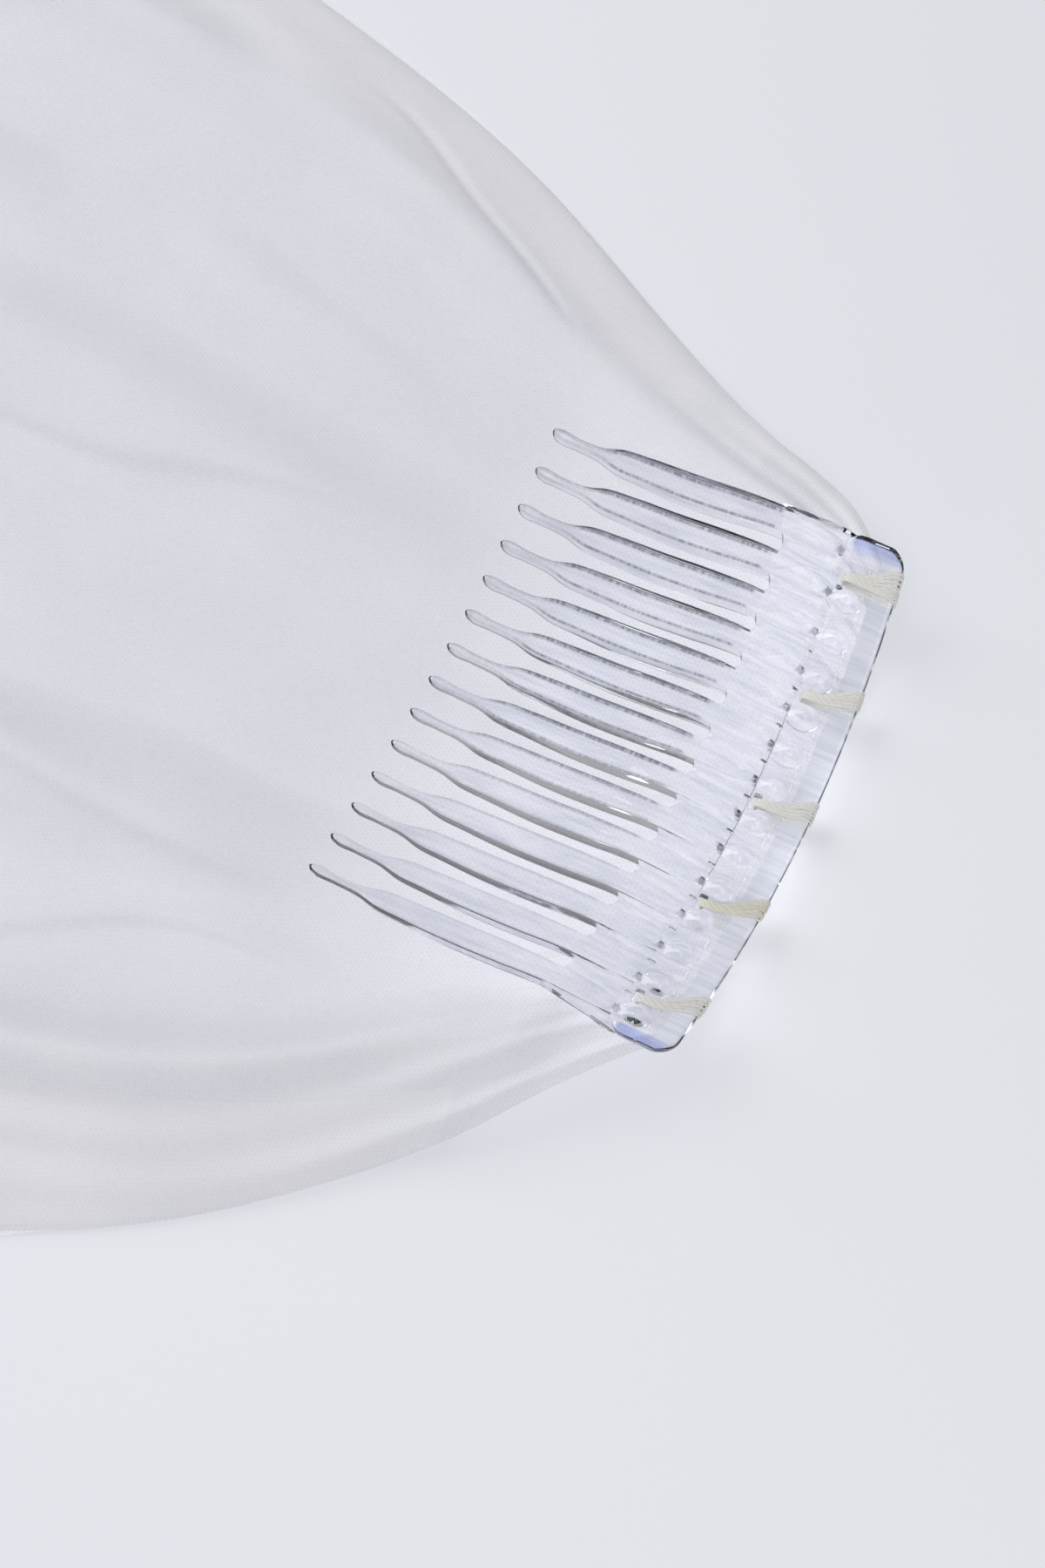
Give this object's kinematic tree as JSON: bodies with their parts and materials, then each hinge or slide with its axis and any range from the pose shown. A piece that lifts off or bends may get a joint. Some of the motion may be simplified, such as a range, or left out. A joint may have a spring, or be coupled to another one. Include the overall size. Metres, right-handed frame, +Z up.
{
  "type": "bridal veil on a hair comb",
  "caption": "Short sheer bridal veil laid out flat, gathered and sewn with ivory thread to a clear moulded hair comb that lies on its narrow end.",
  "frame": {"origin": "below the middle of the laid veil's bounding box, on the surface that it lies on", "axes": "+Z up, +Y along the teeth from the comb to the hem, +X along the comb's spine"},
  "size_m": [0.376, 0.5034, 0.0139],
  "materials": {
    "tulle": "sheer white soft tulle net, matt with a faint sheen",
    "clear_plastic": "clear moulded plastic, glossy, with a faint lavender tint",
    "ivory_thread": "ivory sewing thread, satin"
  },
  "bodies": {
    "root": {"tulle_upper_layer": "tulle", "tulle_turned_left": "tulle", "tulle_turned_right": "tulle", "comb": "clear_plastic", "thread_lashing_1": "ivory_thread", "thread_lashing_2": "ivory_thread", "thread_lashing_3": "ivory_thread", "thread_lashing_4": "ivory_thread", "thread_lashing_5": "ivory_thread"}
  },
  "joints": []
}
